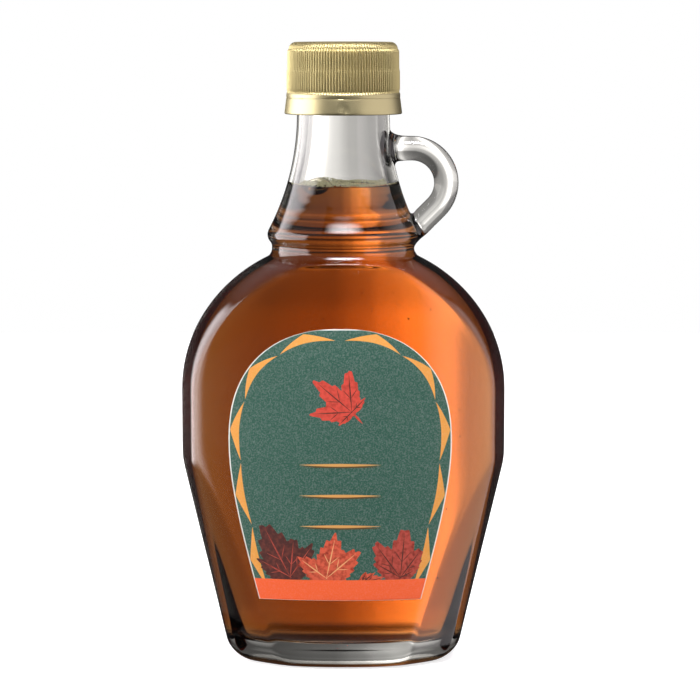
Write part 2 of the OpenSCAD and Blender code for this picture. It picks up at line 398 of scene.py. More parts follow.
def outer_rings():
    """The outside from the edge of the foot's hollow to the mouth."""
    z, t = body_rows(0, 0, heel_r, blend_z, outer_steps)
    hollow = np.linspace(0.08, 1, 10) * dome_r
    flat = np.linspace(0, 1, 4)[1:-1]
    foot_z = np.concatenate([dome_h * (1 - (hollow / dome_r) ** 2) ** 1.3, 0 * flat])
    foot_t = np.full(len(foot_z), heel_r)
    foot_mix = np.concatenate([0 * hollow + 1, 1 - flat])
    foot_round = np.concatenate([hollow, 0 * flat + dome_r])
    neck = outside[1:]
    all_z = np.concatenate([foot_z, z, neck[:, 1]])
    all_t = np.concatenate([foot_t, t, 0 * neck[:, 0]])
    w = np.concatenate([half_w(foot_z * 0, foot_t), half_w(z, t), neck[:, 0]])
    round_r = np.concatenate([foot_round, 0 * z + groove_r, neck[:, 0]])
    mix = np.concatenate([foot_mix, 0 * z, ease((neck[:, 1] - blend_z) / to_circle)])
    level = np.concatenate([0 * foot_z, 0 * z, ease((neck[:, 1] - body_h) / to_even)])
    return rings(all_z, all_t, w, round_r, mix, edge_round(all_z, *outer_edge), level)


outer = outer_rings()
print("outside", outer.shape[0], "rows of", outer.shape[1], "points")

# %% The inside, from the floor up
blend_in = body_h - 4.2                     # the inner body's rows end here
to_circle_in = 3.5
to_even_in = 6
neck_step = 0.9                             # distance between the rows in the neck


def inner_rings(t, lift, top_z):
    """The inside of the glass, or the syrup's outside, from the floor up to top_z. t is the
    depth in the wall, and lift moves the floor and the bore outwards by as much."""
    z, depth = body_rows(t, floor_z - lift, inner_heel_r, blend_in, inner_steps)
    flat = np.linspace(0.06, 1, 9)[:-1]
    flat_z = np.full(len(flat), floor_z - lift)
    neck_z = np.linspace(blend_in, top_z, int((top_z - blend_in) / neck_step) + 2)[1:]
    side = half_w(np.minimum(neck_z, body_h - 1.5), t)
    part = ease((neck_z - blend_in) / to_circle_in)
    neck_w = side + (bore(neck_z) + lift - side) * part
    all_z = np.concatenate([flat_z, z, neck_z])
    all_t = np.concatenate([0 * flat + depth[0], depth, 0 * neck_z + t])
    w = np.concatenate([0 * flat + half_w(z[:1], depth[:1]), half_w(z, depth), neck_w])
    mix = np.concatenate([0 * flat, 0 * z, part])
    level = np.concatenate([0 * flat, 0 * z, ease((neck_z - blend_in) / to_even_in)])
    round_r = np.concatenate([0 * flat, 0 * z, neck_w])
    points = rings(all_z, all_t, w, round_r, mix, edge_round(all_z, *inner_edge), level)
    points[:len(flat), :, :2] *= flat[:, None, None]
    return points


inner = inner_rings(wall, 0, cap_z)[::-1]
print("inside", inner.shape[0], "rows")

# %% [markdown]
# ## The whole skin of the flask
# Machine-made glass is never quite even: along the neck it has faint rings, which the mould
# leaves. A wave about a hundredth of a millimetre high, only between the lip and the cap,
# bends the light there just enough. A mouth of three rows joins outside and inside.

# %% Ripple, mouth and faces
ripple_deep = 0.006
ripple_step = 2.3                           # height of one wave
bore_r = neck_r - neck_wall

ripple_z, around_a = outer[..., 2], np.arctan2(outer[..., 1], outer[..., 0])
wave = 1 + np.sin(ripple_z * 2 * np.pi / ripple_step + 0.8 * np.sin(3 * around_a))
window = ease((ripple_z - lip_mid_z - 1.5) / 3) * ease((cap_z - 14 - ripple_z) / 8)
pressed = ripple_deep * wave * window / np.hypot(outer[..., 0], outer[..., 1])
outer[..., :2] *= (1 - pressed)[..., None]
cols = outer.shape[1]
rim = np.stack([outer[-1] * [r / (neck_r - rim_r), r / (neck_r - rim_r), 0] + [0, 0, z]
                for r, z in ((bore_r + 0.8, mouth_z), (bore_r + 0.1, mouth_z - 0.5),
                             (bore_r, mouth_z - 2))])
grid = np.concatenate([outer, rim, inner])
rows = len(grid)
flask_points = np.concatenate([grid.reshape(-1, 3), [[0, 0, dome_h], [0, 0, floor_z]]])
flask_faces = [grid_quads(rows, cols),
               fan(rows * cols, np.arange(cols), False),
               fan(rows * cols + 1, (rows - 1) * cols + np.arange(cols), True)]
print("flask rows", rows, "columns", cols)

# %% [markdown]
# ## The finger loop
# The loop is a round glass rod pressed onto the neck: a level top leg, a bend of three
# eighths of a circle, and a straight leg that runs down into the lip. It is a circle
# carried along that path. Its ends stay inside the neck's wall, and the rod and the flask
# are joined into one body of glass.

# %% The rod's path and skin
rod_r = 6.5 / 2
loop_r = 9.17
loop_x = 18.2
loop_z = cap_z - 9.1 - loop_r
top_start = neck_r - neck_wall / 2          # both ends lie inside the neck's wall
leg_len = 13.0
root_flare = 1.6                            # how much thicker the rod is at its upper root
root_wall = 1.0                             # glass kept between the rod and the bore


def loop_path():
    """Points of the rod's middle line in the XZ plane: leg, bend, leg."""
    top = np.stack([np.linspace(top_start, loop_x, 18), np.full(18, loop_z + loop_r)], -1)
    bend = arc(loop_x, loop_z, loop_r, np.pi / 2, -np.pi / 4, 64)
    down = np.linspace(0, leg_len, 28)[1:, None] * -math.sqrt(0.5)
    return np.concatenate([top[:-1], bend, bend[-1] + down * [1, 1]])


def rod_skin(path, around=40):
    """A circle of the rod's radius across the path at each of its points. The radius grows
    towards its upper root like a drop's, and every point keeps clear of the bore."""
    run = np.gradient(path, axis=0)
    run /= np.linalg.norm(run, axis=1)[:, None]
    side = np.stack([-run[:, 1], run[:, 0]], -1)
    length = np.concatenate([[0], np.cumsum(np.linalg.norm(np.diff(path, axis=0), axis=1))])
    r = rod_r + root_flare * np.exp(-((length - 1.4) / 1.6).clip(0) ** 1.3)
    a = np.arange(around) * 2 * np.pi / around
    across = r[:, None] * np.cos(a)
    x = path[:, None, 0] + across * side[:, None, 0]
    z = path[:, None, 1] + across * side[:, None, 1]
    y = r[:, None] * np.sin(a)
    out = np.hypot(x, y)
    push = np.maximum(1, (bore(z) + root_wall) / out)
    return np.stack([x * push, y * push, z], -1)


loop_line = loop_path()
rod = rod_skin(loop_line)
rod_rows, rod_cols = rod.shape[:2]
rod_points = np.concatenate([rod.reshape(-1, 3), [rod[0].mean(0)], [rod[-1].mean(0)]])
rod_faces = [grid_quads(rod_rows, rod_cols),
             fan(rod_rows * rod_cols, np.arange(rod_cols), False),
             fan(rod_rows * rod_cols + 1, (rod_rows - 1) * rod_cols + np.arange(rod_cols))]
print("loop", rod_rows, "rows, reaches out to", rod[..., 0].max())

# %% [markdown]
# ## Glass and syrup
# Clear glass shows itself by what it bends and mirrors. Its colour comes from the way that
# light takes through it, so it is a volume that absorbs a little of everything. The syrup
# takes away most of the blue, half of the green and little of the red, which makes it amber
# in a thin layer and brown in a thick one.

# %% Materials of the flask and its contents


def material(name, sockets=None):
    """A new material, its nodes, its links and its Principled shader. sockets holds the
    shader's values by the names of their sockets."""
    made = bpy.data.materials.new(name)
    made.use_nodes = True
    nodes, links = made.node_tree.nodes, made.node_tree.links
    shader = nodes["Principled BSDF"]
    for socket, value in (sockets or {}).items():
        shader.inputs[socket].default_value = value
    return made, nodes, links, shader


def clear(name, ior, color=(1, 1, 1), roughness=0.0, **more):
    """A clear material: all light goes through its skin, bent as its IOR says."""
    return material(name, {"Base Color": (*color, 1), "Roughness": roughness, "IOR": ior,
                           "Transmission Weight": 1.0, **more})[0]


def absorbing(made, color, density):
    """Fills the piece with a volume that absorbs (1 - color) * density per metre."""
    node = made.node_tree.nodes.new("ShaderNodeVolumeAbsorption")
    node.inputs["Color"].default_value = (*color, 1)
    node.inputs["Density"].default_value = density
    out = made.node_tree.nodes["Material Output"]
    made.node_tree.links.new(node.outputs["Volume"], out.inputs["Volume"])


SYRUP_IOR = 1.46
glass = clear("clear_glass", 1.5)
absorbing(glass, (0.62, 0.63, 0.62), 20.0)
# a black specular tint takes away the mirror of the syrup's skin, which touches the glass
amber = clear("maple_syrup", SYRUP_IOR, **{"Specular Tint": (0, 0, 0, 1)})
absorbing(amber, (0.827, 0.469, 0.005), 126.0)
print("materials", glass.name, amber.name)

# %% [markdown]
# ## The flask and its loop become one body
# Where two lumps of hot glass meet, they flow into one. A Boolean union gives one closed
# skin, and then the points near the line where they met are drawn to the middle of their
# neighbours a few times over, which leaves a small hollow curve as on the real glass.

# %% Join the loop and soften its roots
FAR = 99.0                                  # millimetres: further than any point's reach
flask = build("flask_glass", flask_points, flask_faces, glass)
rod_piece = build("rod_join", rod_points, rod_faces, glass)
union = flask.modifiers.new("join", "BOOLEAN")
union.operation = "UNION"
union.object = rod_piece
union.solver = "MANIFOLD"
bpy.context.view_layer.objects.active = flask
flask.select_set(True)
bpy.ops.object.modifier_apply(modifier="join")
bpy.data.objects.remove(rod_piece)


def point_array(mesh):
    """The mesh's points in millimetres."""
    co = np.empty(len(mesh.vertices) * 3)
    mesh.vertices.foreach_get("co", co)
    return co.reshape(-1, 3) / MM


def soften_join(mesh, reach, passes):
    """Moves each point near the joint line towards the middle of its neighbours, again and
    again. Its weight falls to 0 at the distance reach from either skin."""
    co = point_array(mesh)
    r = np.hypot(co[:, 0], co[:, 1])
    to_neck = np.abs(r - np.interp(co[:, 2], outside[:, 1], outside[:, 0]))
    gap = np.full(len(co), FAR)
    near = (co[:, 0] > 6) & (co[:, 2] > body_h - 4) & (co[:, 2] < cap_z)
    d = np.linalg.norm(co[near][:, None, [0, 2]] - loop_line[None], axis=2).min(1)
    gap[near] = np.abs(np.hypot(d, co[near][:, 1]) - rod_r)
    weight = ease(1 - np.maximum(to_neck, gap) / reach)[:, None] * 0.6
    edges = np.empty(len(mesh.edges) * 2, np.int32)
    mesh.edges.foreach_get("vertices", edges)
    a, b = edges.reshape(-1, 2).T
    keep = (weight[a, 0] > 0) | (weight[b, 0] > 0)
    a, b = a[keep], b[keep]
    count = (np.bincount(a, minlength=len(co)) + np.bincount(b, minlength=len(co)))[:, None]
    for _ in range(passes):
        total = np.zeros_like(co)
        np.add.at(total, a, co[b])
        np.add.at(total, b, co[a])
        co = np.where(count > 0, co + weight * (total / np.maximum(count, 1) - co), co)
    mesh.vertices.foreach_set("co", (co * MM).ravel())
    mesh.update()
    print("softened", int((weight > 0).sum()), "points at the loop's roots")


soften_join(flask.data, reach=2.0, passes=30)
flask.data.shade_smooth()
joins(flask, "bottle", slot="glass")
print("flask and loop", len(flask.data.polygons), "faces")

# %% [markdown]
# ## Syrup
# The syrup fills the flask up into the neck. Its skin lies a fifth of a millimetre inside
# the glass, so that no thin layer of air is left between the two. At the wall it climbs a
# little, as every liquid does that wets its glass.

# %% The syrup's body and its surface
fill_z = syrup_high[2]
into_wall = 0.2
climb = 0.35                                # how far the syrup climbs up its glass
level_drop = 0.25                           # the middle of the surface, below the level
bubble_r = 3.3
bubble_flat = 0.8                           # height of the big bubble's ball for its width
film_thick = 0.12
bubble_mid = fill_z - 0.7
bubble_out = bore(np.array([fill_z]))[0] - bubble_r - film_thick
bubble_at = bubble_out * np.array([-0.72, -0.694])


def surface_z(x, y, edge_r):
    """Height of the surface: level, and rising towards the wall like exp(-distance). Under
    the big bubble it is pressed down into a bowl, the lower part of the bubble's ball."""
    level = fill_z - level_drop + climb * np.exp(-(edge_r - np.hypot(x, y)) / 0.8)
    d = np.hypot(x - bubble_at[0], y - bubble_at[1])
    inside = bubble_r - film_thick
    bowl = bubble_mid - np.sqrt(np.maximum(0, inside ** 2 - d * d)) * bubble_flat
    return np.where(d < inside, np.minimum(level, bowl), level)


body = inner_rings(wall - into_wall, into_wall, fill_z + climb - level_drop)
top_ring = body[-1]
edge_r = np.hypot(top_ring[:, 0], top_ring[:, 1]).mean()
share = (1 - np.linspace(0, 1, 60)[1:-1] ** 1.3)[:, None]
top_xy = top_ring[None, :, :2] * share[:, :, None]
top_z = surface_z(top_xy[..., 0], top_xy[..., 1], edge_r)
top = np.concatenate([top_xy, top_z[..., None]], -1)
grid = np.concatenate([body, top])
rows = len(grid)
syrup_points = np.concatenate([grid.reshape(-1, 3),
                               [[0, 0, floor_z - into_wall], [0, 0, fill_z - level_drop]]])
syrup_faces = [grid_quads(rows, cols),
               fan(rows * cols, np.arange(cols), False),
               fan(rows * cols + 1, (rows - 1) * cols + np.arange(cols), True)]
syrup = build("syrup_fill", syrup_points, syrup_faces, amber)
joins(syrup, "syrup", slot="syrup")

# %% [markdown]
# ## Foam and bubbles
# Pouring leaves a ring of fine foam where the surface meets the glass, one big bubble against
# the front wall, and a few tiny bubbles deep in the syrup. Foam is many small beads, so each
# piece here is one ball, copied to many places with many sizes in a single array.

# %% Many balls in one mesh


def balls(middles, radii, rows, cols):
    """Points and faces of many balls: rows of latitude between two poles. Each coordinate is
    the middle plus the radius times (cos lat cos lon, cos lat sin lon, sin lat)."""
    lat = np.linspace(-np.pi / 2, np.pi / 2, rows + 2)[1:-1, None]
    lon = (np.arange(cols) * 2 * np.pi / cols)[None, :]
    unit = np.stack([np.cos(lat) * np.cos(lon), np.cos(lat) * np.sin(lon),
                     np.sin(lat) + 0 * lon], -1).reshape(-1, 3)
    unit = np.concatenate([unit, [[0, 0, -1], [0, 0, 1]]])
    n = len(unit)
    points = middles[:, None] + radii[:, None, None] * unit
    quads = grid_quads(rows, cols)
    tris = np.concatenate([fan(n - 2, np.arange(cols), False),
                           fan(n - 1, (rows - 1) * cols + np.arange(cols))])
    step = (np.arange(len(middles)) * n)[:, None, None]
    return points.reshape(-1, 3), [(quads + step).reshape(-1, 4), (tris + step).reshape(-1, 3)]


print("one ball of 4 rows and 7 columns has", len(balls(np.zeros((1, 3)), np.ones(1), 4, 7)[0]),
      "points")

# %% The foam ring
rng = np.random.default_rng(7)
ring_beads = 2700
veil_beads = 150                            # over the big bubble's dome
foam_z0 = fill_z - 0.45                     # the ring's lower edge
foam_h = 1.5
wall_gap = 0.02                             # no bead comes nearer the glass
ring_bead_r = (0.07, 0.19)                  # smallest and largest radius of a bead
veil_bead_r = (0.05, 0.12)

# the beads glow a little of their own: painted light, standing in for the light that reaches foam inside
# the glass
foam_painted_glow_finish = material("foam", {
    "Base Color": (0.62, 0.60, 0.42, 1), "Roughness": 0.3,
    "Emission Color": (0.60, 0.57, 0.36, 1), "Emission Strength": 0.30})[0]

turn_at = rng.uniform(0, 2 * np.pi, ring_beads)
size = rng.uniform(*ring_bead_r, ring_beads)
band = rng.uniform(0, 1, ring_beads)
thick = 0.75 + 0.25 * np.sin(3 * turn_at + 1) + 0.15 * np.sin(7 * turn_at)
foam_z = foam_z0 + foam_h * band * thick
off_wall = rng.exponential(0.22, ring_beads).clip(0, 1.1) * (1 - band)
foam_r = bore(foam_z) - 0.04 - size - off_wall
ring = np.stack([foam_r * np.cos(turn_at), foam_r * np.sin(turn_at), foam_z], -1)

up, round_it = rng.uniform(0.35, 1.0, veil_beads), rng.uniform(0, 2 * np.pi, veil_beads)
veil = np.stack([bubble_at[0] + bubble_r * np.sqrt(1 - up * up) * np.cos(round_it),
                 bubble_at[1] + bubble_r * np.sqrt(1 - up * up) * np.sin(round_it),
                 bubble_mid + bubble_r * up * bubble_flat], -1)
beads = np.concatenate([ring, veil])
size = np.concatenate([size, rng.uniform(*veil_bead_r, veil_beads)])
clear_of_wall = np.hypot(beads[:, 0], beads[:, 1]) + size < bore(beads[:, 2]) - wall_gap
foam = build("foam_ring", *balls(beads[clear_of_wall], size[clear_of_wall], 4, 7), foam_painted_glow_finish)
joins(foam, slot="syrup")

# %% The big bubble


def dome_film(middle, radius, thick, low, rows=24, cols=64):
    """A thin open-bottomed dome: the outer side from its rim to the top, then the inner one
    back down. low is the angle below the equator where it starts, as a sine."""
    lat = np.linspace(-math.asin(low), np.pi / 2, rows)[:-1, None]
    lon = (np.arange(cols) * 2 * np.pi / cols)[None, :]
    unit = np.stack([np.cos(lat) * np.cos(lon), np.cos(lat) * np.sin(lon),
                     bubble_flat * np.sin(lat) + 0 * lon], -1)
    skin = np.concatenate([(unit * (radius - thick))[::-1], unit * radius]) + middle
    r = len(skin)
    points = np.concatenate([skin.reshape(-1, 3),
                             [middle + [0, 0, bubble_flat * (radius - thick)],
                              middle + [0, 0, bubble_flat * radius]]])
    return points, [grid_quads(r, cols), fan(r * cols, np.arange(cols), False),
                    fan(r * cols + 1, (r - 1) * cols + np.arange(cols))]


film = clear("bubble_film", 1.38, (0.93, 0.90, 0.80), 0.02)
bubble_middle = np.array([*bubble_at, bubble_mid])
bubble = build("big_bubble", *dome_film(bubble_middle, bubble_r, film_thick, 0.3), film)
joins(bubble, slot="syrup")

# %% The small bubbles
small_count = 70
small_r = (0.10, 0.24)
skin_gap = wall + 0.6                       # they stay this deep under the flask's skin

air = clear("air_in_syrup", 1 / SYRUP_IOR)  # light goes from syrup into air
small_z = rng.uniform(14, 100, small_count)
small_x = rng.uniform(-0.85, 0.85, small_count) * half_w(small_z, wall + 3)
small_y = -half_y(np.abs(small_x), small_z, skin_gap, half_w(small_z, skin_gap), inner_edge[0])
small_y = small_y * rng.uniform(0.5, 0.97, small_count)
small = build("small_bubbles", *balls(np.stack([small_x, small_y, small_z], -1),
                                      rng.uniform(*small_r, small_count), 10, 16), air)
joins(small, slot="syrup")

# %% [markdown]
# ## Cap
# The cap is thin gold-coloured aluminium, rolled onto the glass. Its ribs are pressed in, so
# one skin can show them: the profile is carried round the axis, and each column is pushed in
# where a groove between two ribs falls. Six columns to a rib give it a round back. The line
# where the lower ring tears off is scored only lightly, and hardly at all at its bridges.

# %% The cap's profile and what goes round it
cap_h = 19.0
cap_r = 14.85
roof_z = 17.5                               # the cap's underside
ribs = 120
rib_depth = 0.35
extra_depth = 0.1                           # makes the grooves read as dark lines
bridges = 8
bridge_half = 2.5                           # half a bridge, in degrees
score_deep, score_shallow = 0.16, 0.02
top_edge_r = 1.9                            # the rounded top edge
top_edge_in = 0.4                           # it starts this far inside the ribs
edge_points = 12
cap_cols = ribs * 6
cap_a = (np.arange(cap_cols) + 0.5) * 2 * np.pi / cap_cols
groove_wave = (1 - np.abs(np.sin(ribs * cap_a / 2)) ** 1.2) * (rib_depth + extra_depth)
bridge = np.abs((cap_a * bridges / (2 * np.pi)) % 1 - 0.94) * (360 / bridges) < bridge_half
slit_cut = np.where(bridge, score_shallow, score_deep)
round_top = arc(cap_r - top_edge_in - top_edge_r, cap_h - top_edge_r, top_edge_r,
                0.08, np.pi / 2, edge_points)
rib_end = 0.8 * (1 - np.linspace(0, 1, edge_points)) ** 1.6    # the grooves run out on top
cap_line = np.concatenate([                 # radius, height, rib share, slit share
    [[0.5, roof_z, 0, 0], [12.6, roof_z, 0, 0], [12.6, 0.4, 0, 0], [12.8, 0.05, 0, 0],
     [15.3, 0.0, 0, 0], [15.52, 0.08, 0, 0], [15.59, 0.25, 0, 0], [15.58, 0.6, 0, 0],
     [15.46, 1.5, 0, 0], [15.33, 2.5, 0, 0], [15.2, 3.6, 0, 0], [15.14, 4.0, 0, 0],
     [15.1, 4.2, 0, 0], [15.09, 4.24, 0, 1], [15.09, 4.36, 0, 1], [15.1, 4.4, 0, 0],
     [15.1, 4.6, 0, 0], [15.1, 5.2, 0, 0], [15.07, 5.35, 0.0, 0], [14.98, 5.6, 0.35, 0],
     [14.9, 5.9, 0.8, 0], [14.93, 6.15, 1, 0], [15.02, 6.4, 1, 0], [15.05, 7, 1, 0],
     [15.04, 9, 1, 0], [15.02, 11.1, 1, 0], [14.98, 11.4, 1, 0], [14.91, 11.7, 1, 0],
     [14.87, 12.1, 1, 0], [14.85, 14, 1, 0], [14.84, 16.4, 1, 0], [14.76, 16.8, 1, 0],
     [14.62, 17.0, 0.9, 0]],
    np.column_stack([round_top, rib_end, np.zeros(edge_points)]),
    [[9, cap_h, 0, 0], [4, cap_h, 0, 0], [0.6, cap_h, 0, 0]]])
cap_rows = len(cap_line)
print("cap profile", cap_rows, "points,", cap_cols, "columns")

# %% The cap's skin and its dents
dents = ((-1.52, 1.2, 0.22, 0.05), (-1.60, 2.0, 0.14, 0.04),     # angle, height, depth, width
         (-0.82, 1.6, 0.12, 0.07), (-2.5, 2.1, 0.1, 0.09))


def cap_skin(line, a):
    """Radius of the line less the groove between ribs and less the slit, carried round.
    Dents from handling press the band in at the front by up to a fifth of a millimetre."""
    r = line[:, :1] - line[:, 2:3] * groove_wave - line[:, 3:4] * slit_cut
    z = np.broadcast_to(line[:, 1:2], r.shape)
    outer_side = ease((line[:, :1] - 14) / 0.8)
    for at, height, deep, wide in dents:
        turn = (a - at + np.pi) % (2 * np.pi) - np.pi
        bump = np.exp(-(turn / wide) ** 2 - ((z - height) / 0.9) ** 2)
        r = r - deep * bump * outer_side
    return np.stack([r * np.cos(a), r * np.sin(a), cap_z + z], -1)


cap_points = cap_skin(cap_line, cap_a)
print("the cap is", 2 * cap_points[..., 0].max(), "wide")

# %% Brushed gold aluminium
gold, nodes, links, shader = material("gold_aluminium", {
    "Base Color": (0.43, 0.365, 0.175, 1), "Metallic": 1.0, "Roughness": 0.5})
grain = nodes.new("ShaderNodeTexNoise")
grain.inputs["Scale"].default_value = 900.0
grain.inputs["Detail"].default_value = 3.0
place = nodes.new("ShaderNodeTexCoord")
links.new(place.outputs["Object"], grain.inputs["Vector"])
bump = nodes.new("ShaderNodeBump")
bump.inputs["Strength"].default_value = 0.12
bump.inputs["Distance"].default_value = 0.0001
links.new(grain.outputs["Fac"], bump.inputs["Height"])
links.new(bump.outputs["Normal"], shader.inputs["Normal"])
# the band is the same gold, made lighter and a little glossier: painted light, standing in for a fill
# that brightens the band
band_gold_painted_lighter = gold.copy()
band_gold_painted_lighter.name = "gold_band_painted_lighter"
lighter_band_shader = band_gold_painted_lighter.node_tree.nodes["Principled BSDF"]
lighter_band_shader.inputs["Base Color"].default_value = (0.46, 0.405, 0.225, 1)
lighter_band_shader.inputs["Roughness"].default_value = 0.42
print("materials", gold.name, band_gold_painted_lighter.name)

# %% The cap
band_rows = (3, 19)                         # the smooth band's first row, and the one after it
cap_poles = [[0, 0, cap_z + roof_z], [0, 0, cap_z + cap_h]]
cap = build("cap_shell", np.concatenate([cap_points.reshape(-1, 3), cap_poles]),
            [grid_quads(cap_rows, cap_cols),
             fan(cap_rows * cap_cols, np.arange(cap_cols), False),
             fan(cap_rows * cap_cols + 1, (cap_rows - 1) * cap_cols + np.arange(cap_cols))],
            gold, sharp=50)
# the smooth band's rows take the lighter copy, which paints light onto the band
cap.data.materials.append(band_gold_painted_lighter)
row_of = np.arange(len(cap.data.polygons)) // cap_cols
in_band = (row_of >= band_rows[0]) & (row_of < band_rows[1])
cap.data.polygons.foreach_set("material_index", in_band.astype(np.int32))
joins(cap, "cap", slot="cap")

# %% [markdown]
# ## Label
# The label is paper glued to the front panel. Every shape printed on it is a thin sheet of
# its own that follows the panel: its points are laid out flat, as widths and heights on the
# label, and each one is then moved onto the panel's curve. A sheet has a front, a back and
# an edge all round, and lies a hundredth of a millimetre above the one under it.

# %% Sheets that follow the panel
label_mid_x = (label_low[0] + label_high[0]) / 2
PAPER = 0.13                                # the paper's face, in front of the glass
LAYER = 0.012                               # from one printed sheet to the next


def on_panel(x, z, d):
    """Points at label width x and height z, d in front of the glass."""
    gx = x + label_mid_x
    return np.stack([gx, -half_y(np.abs(gx), z, -d, half_w(z, -d), 0.5), z + 0 * x], -1)


def sheet(name, x, z, low, high, paint):
    """A thin closed sheet over a grid of label points, from low to high above the glass: the
    front's columns, then the back's in reverse, make closed rows, and two strips end them."""
    r, c = x.shape
    front, back = on_panel(x, z, high), on_panel(x, z, low)[:, ::-1]
    k = np.arange(c - 1)
    o = (r - 1) * 2 * c
    ends = [np.stack([k + 1, k, 2 * c - 1 - k, 2 * c - 2 - k], -1),
            np.stack([o + k, o + k + 1, o + 2 * c - 2 - k, o + 2 * c - 1 - k], -1)]
    points = np.concatenate([front, back], 1).reshape(-1, 3)
    piece = build(name, points, [grid_quads(r, 2 * c)] + ends, paint, sharp=40)
    joins(piece, slot="label")
    return piece


def disc(name, middle_x, middle_z, angles, reach, low, high, paint):
    """A thin closed sheet in the round: from a middle point out to the given reach."""
    steps = 9
    share = (np.arange(1, steps + 1) / steps)[:, None]
    x = middle_x + share * reach * np.cos(angles)
    z = middle_z + share * reach * np.sin(angles)
    pole_x, pole_z = np.array([middle_x]), np.array([middle_z])
    n = len(angles)
    points = np.concatenate([
        on_panel(x, z, high).reshape(-1, 3), on_panel(x, z, low)[::-1].reshape(-1, 3),
        on_panel(pole_x, pole_z, high), on_panel(pole_x, pole_z, low)])
    faces = [grid_quads(2 * steps, n), fan(2 * steps * n, np.arange(n), False),
             fan(2 * steps * n + 1, (2 * steps - 1) * n + np.arange(n))]
    piece = build(name, points, faces, paint, sharp=40)
    joins(piece, slot="label")
    return piece


print("label's middle at", label_mid_x)

# %% The label's outline
label_half = (label_high[0] - label_low[0]) / 2
label_foot = label_low[2]
label_wide_z = 60.8                         # height of its widest line
arch_h = label_high[2] - label_wide_z
arch_power = 2.3                            # 2 would be an ellipse, more is squarer
side_slope = 0.3
side_bend = 5.8


def label_x(z):
    """Half width of the label: a squarish ellipse above its widest line and, below it, a
    bend into a straight slope."""
    up = np.clip((z - label_wide_z) / arch_h, 0, 1)
    arch = label_half * (1 - up ** arch_power) ** (1 / arch_power)
    slope = (label_half + side_bend
             - np.sqrt((side_slope * (label_wide_z - z)) ** 2 + side_bend ** 2))
    return np.where(z >= label_wide_z, arch, slope)


print("label", 2 * label_half, "wide, at its foot", 2 * label_x(np.array(label_foot)))

# %% Paper and inks


def printed(name, color, speck=0.0, size=2500.0, light=None):
    """Matt ink. speck mixes in grains of a lighter colour, as coarse printing shows them."""
    made, nodes, links, shader = material(name, {
        "Base Color": (*color, 1), "Roughness": 0.55, "Specular IOR Level": 0.25})
    if speck:
        place = nodes.new("ShaderNodeTexCoord")
        noise = nodes.new("ShaderNodeTexNoise")
        noise.inputs["Scale"].default_value = size
        noise.inputs["Detail"].default_value = 2.0
        ramp = nodes.new("ShaderNodeValToRGB")
        ramp.color_ramp.elements[0].position = 0.42
        ramp.color_ramp.elements[0].color = (*color, 1)
        ramp.color_ramp.elements[1].position = 0.72
        lighter = light or tuple(c + (1 - c) * speck for c in color)
        ramp.color_ramp.elements[1].color = (*lighter, 1)
        links.new(place.outputs["Object"], noise.inputs["Vector"])
        links.new(noise.outputs["Fac"], ramp.inputs[0])
        links.new(ramp.outputs[0], shader.inputs["Base Color"])
    return made


paper = printed("label_paper", (0.72, 0.70, 0.62))
green = printed("green_ink", (0.029, 0.094, 0.066), 0.09, 2600.0)
orange = printed("orange_ink", (0.84, 0.125, 0.036), 0.03)
ochre = printed("ochre_ink", (0.74, 0.33, 0.062), 0.05)
rule_gold = printed("rule_ink", (0.62, 0.33, 0.10))
rule_shade = printed("shade_ink", (0.10, 0.055, 0.02))
# where a second colour is named, the size of speck only switches the grains on
coral = printed("coral_leaf_ink", (0.64, 0.110, 0.058), 0.25, 900.0, (0.28, 0.035, 0.02))
rust = printed("rust_ink", (0.62, 0.075, 0.050), 0.2, 800.0, (0.40, 0.045, 0.03))
maroon = printed("maroon_ink", (0.070, 0.026, 0.022), 0.10, 900.0, (0.15, 0.04, 0.03))
wine = printed("wine_ink", (0.45, 0.075, 0.052), 0.14, 900.0, (0.20, 0.03, 0.02))
vein_dark = printed("vein_ink", (0.09, 0.03, 0.02))
vein_light = printed("vein_light_ink", (0.72, 0.38, 0.16))
print("paper and", len([m for m in bpy.data.materials if m.name.endswith("_ink")]), "inks")

# %% Paper, green field and orange strip
strip_top = label_foot + 5.5
strip_foot = label_foot + 0.1
paper_edge, green_edge, strip_edge = 0, 0.32, 0.2      # how far each stays in from the outline
under, face = PAPER - 0.02, PAPER + LAYER


def field(name, foot, top, inset, low, high, paint, rows=40, cols=33):
    """A sheet between two heights that follows the label's outline, inset from its edge."""
    up = np.linspace(0, 1, rows)
    z = foot + (top - foot) * (np.sin(up * np.pi / 2) if top > label_wide_z else up)
    half = np.maximum(0.05, label_x(np.minimum(z, label_high[2])) - inset)
    x = half[:, None] * np.linspace(-1, 1, cols)
    return sheet(name, x, np.broadcast_to(z[:, None], x.shape), low, high, paint)


label = field("label_sheet", label_foot, label_high[2] - 0.02, paper_edge, 0.03, PAPER,
              paper, 60)
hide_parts("label")
field("green_field", strip_top, label_high[2] - 0.35, green_edge, under, face, green, 60)
field("orange_strip", strip_foot, strip_top, strip_edge, under, face, orange, 8)

# %% [markdown]
# ## The border of darts
# Ochre darts follow the label's edge. Each one is drawn in a curved strip: one direction runs
# along the outline, the other inwards across it. The point of the dart touches the edge, its
# two thin ends lie on an inner line, and its inner side is hollowed.

# %% Darts
darts = 5                                   # on each side
first_dart = 9.7                            # run along the outline from its top
dart_step = 17.5
dart_half = 8.3                             # half a dart's length
tip_in = 0.36                               # its point stays this far in from the edge
ends_in = 2.6                               # and its ends as much more
inner_line_in = 3.0
hollow_in = 0.25
run_step = 0.6                              # for the direction of the outline

edge_t = np.linspace(0, 1, 900)
edge_z = np.concatenate([label_high[2] - arch_h * (1 - np.cos(edge_t * np.pi / 2)),
                         np.linspace(label_wide_z, label_foot, 400)[1:]])
edge_x = label_x(edge_z)
edge_s = np.concatenate([[0], np.cumsum(np.hypot(np.diff(edge_x), np.diff(edge_z)))])


